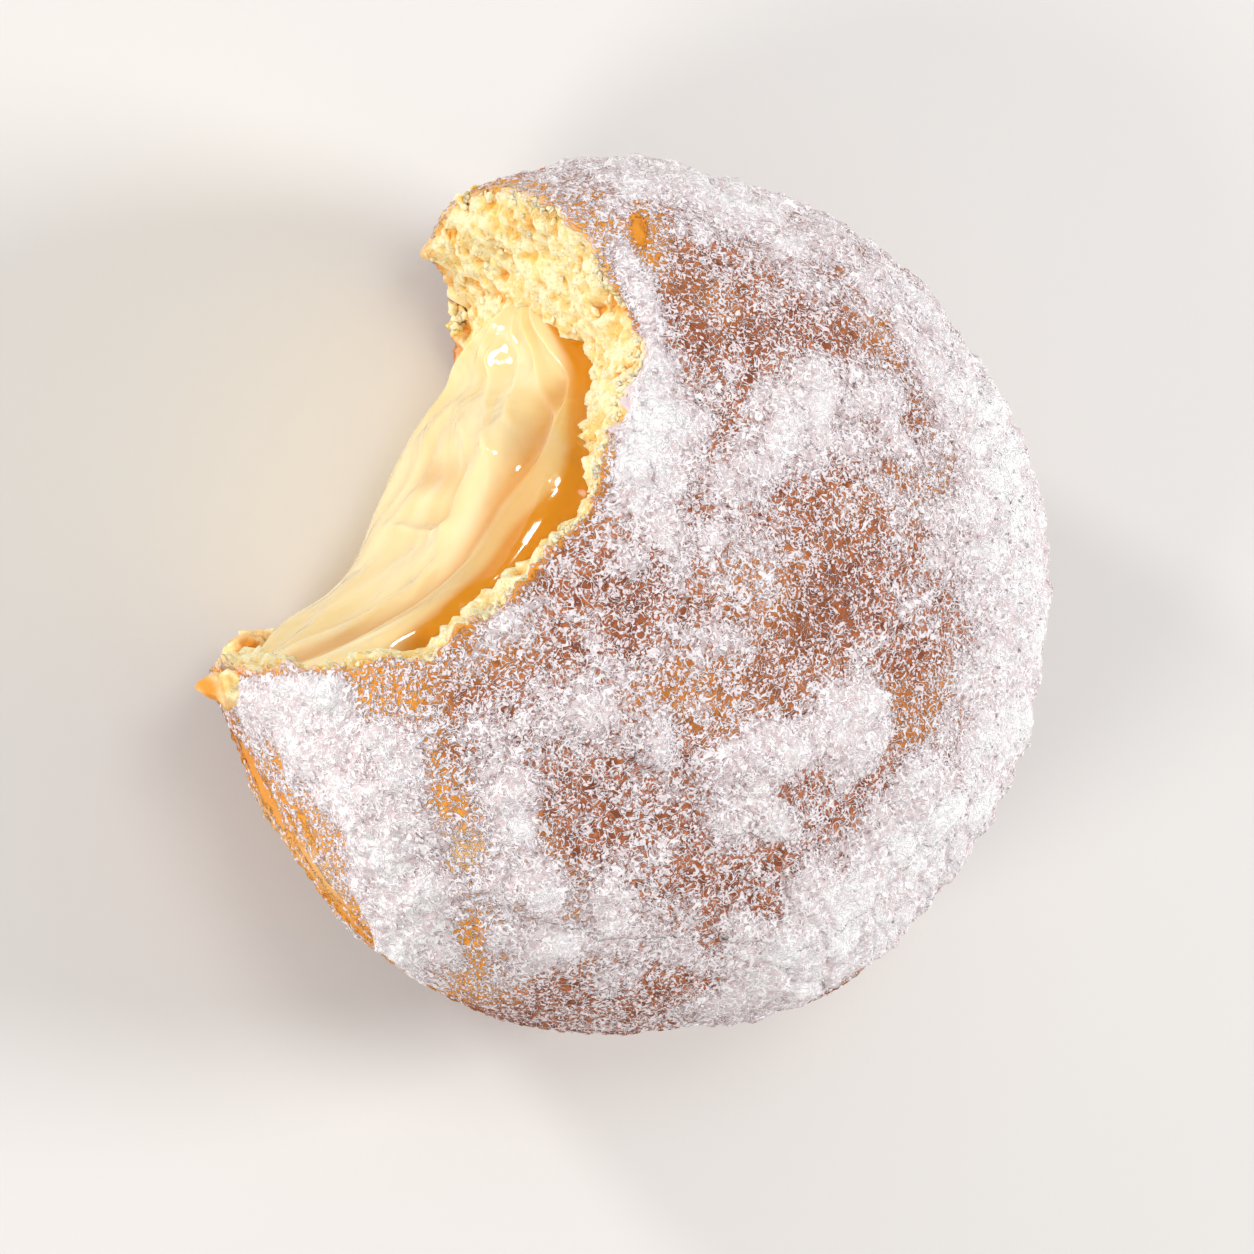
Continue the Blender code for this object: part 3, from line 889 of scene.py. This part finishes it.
def grain_look():
    look = Look("sugar_grain")
    share = look.ramp(look.sum(look.attribute("cover"), (look.noise(1.5), 0.6)), 0.7, 1.5)
    look.set(
        Base_Color=look.mix(share, SUGAR_THIN, SUGAR_WHITE),
        Roughness=0.8,
        Specular_IOR_Level=0.35,
        Subsurface_Weight=0.3,
        Subsurface_Radius=(1.0, 0.9, 0.85),
        Subsurface_Scale=0.4 * MM,
    )
    return look.material


def custard_look():
    look = Look("custard")
    gold, pool = look.attribute("gold"), look.attribute("pool")
    flow = look.tree.nodes.new("ShaderNodeCombineXYZ")
    look.put(flow.inputs[0], look.math("MULTIPLY", look.attribute("along"), 0.22))
    look.put(flow.inputs[1], look.attribute("across"))
    flow = flow.outputs[0]
    streak = look.noise(3.4, 1, 0.3, 0.5, flow)
    colour = look.mix(look.ramp(streak, 0.2, 0.8), rgb(243, 226, 180), rgb(238, 210, 146))
    # painted shade: the inner pool is deeper
    colour = look.mix(look.math("MULTIPLY", pool, 0.8), colour, rgb(214, 174, 98))
    # painted shade, golden, in the hollows and in the channel under the crumb
    colour = look.mix(look.ramp(gold, 0.05, 0.9), colour, rgb(208, 134, 8))
    look.set(
        Base_Color=colour,
        Roughness=0.12,
        Subsurface_Weight=0.5,
        Subsurface_Radius=(1.0, 0.9, 0.5),
        Subsurface_Scale=1.2 * MM,
        Specular_IOR_Level=0.5,
        Coat_Weight=0.5,
        Coat_Roughness=0.05,
        IOR=1.42,
    )
    furrows = look.bump(look.noise(1.0, 0, 0.3, 0.4, flow), 0.10, 0.6)
    look.set(Normal=look.bump(look.noise(2.6, 0, 0.6), 0.25, 0.7, furrows))
    return look.material


def floor_look():
    look = Look("floor")
    look.set(Base_Color=rgb(226, 224, 221), Roughness=0.75)
    return look.material


# ---------------------------------------------------------------- camera, light and floor
# The photo's side in pixels, its scale at the doughnut's waist, and how far it is shifted, in pixels
PHOTO_SIDE, PIXELS_PER_METRE = 1254, 9800
SHIFT_X, SHIFT_Y = 7, -27
SENSOR = 36


def place_camera():
    """Looks down at the doughnut, leaning 20 degrees towards the bite's side."""
    tilt, side, distance = math.radians(20), math.radians(195), 0.50
    back = Vector((math.sin(tilt) * math.cos(side), math.sin(tilt) * math.sin(side), math.cos(tilt)))
    right = Vector((0, 1, 0)).cross(back).normalized()
    up = back.cross(right)
    target = Vector((0, 0, WAIST * MM))
    data = bpy.data.cameras.new("camera")
    data.sensor_width, data.lens = SENSOR, PIXELS_PER_METRE * distance / PHOTO_SIDE * SENSOR
    data.shift_x, data.shift_y = SHIFT_X / PHOTO_SIDE, SHIFT_Y / PHOTO_SIDE
    camera = bpy.data.objects.new("camera", data)
    turn = Matrix((right, up, back)).transposed().to_4x4()
    camera.matrix_world = Matrix.Translation(target + back * distance) @ turn
    bpy.context.scene.collection.objects.link(camera)
    bpy.context.scene.camera = camera


def add_light(name, place, size, power, colour):
    data = bpy.data.lights.new(name, "AREA")
    data.shape, data.size, data.energy, data.color = "DISK", size, power, colour
    light = bpy.data.objects.new(name, data)
    light.location = place
    light.rotation_mode = "QUATERNION"
    light.rotation_quaternion = (Vector((0, 0, 0.02)) - Vector(place)).to_track_quat("-Z", "Y")
    bpy.context.scene.collection.objects.link(light)


def set_light():
    add_light("far_left", (-0.56, 0.40, 0.24), 0.11, 2.5, (1.0, 0.99, 0.98))
    add_light("near_left", (-0.55, -0.36, 0.40), 0.25, 2.5, (1.0, 0.98, 0.96))
    add_light("right", (0.60, 0.02, 0.38), 0.25, 3.4, (1.0, 0.99, 0.99))
    add_light("above", (0.0, 0.18, 0.85), 0.30, 1.1, (1.0, 1.0, 1.0))
    world = bpy.data.worlds.new("studio")
    world.use_nodes = True
    world.node_tree.nodes["Background"].inputs["Color"].default_value = (1.0, 0.985, 0.975, 1)
    world.node_tree.nodes["Background"].inputs["Strength"].default_value = 0.33
    bpy.context.scene.world = world
    bpy.context.scene.view_settings.view_transform = "Standard"


def add_floor():
    half = 900
    corners = [(-half, -half, 0), (half, -half, 0), (half, half, 0), (-half, half, 0)]
    floor = new_object("floor", corners, [(0, 1, 2, 3)])
    floor.data.materials.append(floor_look())


def dress(made, material, node):
    """Gives a piece its finish, and puts it in the place of a node, which it hides."""
    made.data.materials.clear()
    made.data.materials.append(material)
    made.data.shade_smooth()
    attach(made, "root")
    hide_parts(node)


def flatten_seam(made):
    """Shades the hidden cut faces of the coat flat, so that they don't bend the light at the seam."""
    z = places(made)[:, 2]
    for face in made.data.polygons:
        if all(abs(z[v] - SEAM) < 1e-3 for v in face.vertices):
            face.use_smooth = False


def main():
    place_camera()
    set_light()
    add_floor()
    dough_finish, sugar_finish, grain_finish = dough_look(), sugar_look(), grain_look()
    dress(make_dough(), dough_finish, "dough")
    for coat in make_sugar():
        dress(coat, sugar_finish, "dough")
        flatten_seam(coat)
    dress(make_custard(), custard_look(), "custard")
    dress(make_crumbs(), dough_finish, "dough")
    dress(make_shards(), dough_finish, "dough")
    for number in (1, 2):
        dress(make_grains(f"sugar_grains_{number}", 10 + number, GRAINS_TRIED), grain_finish, "dough")


main()
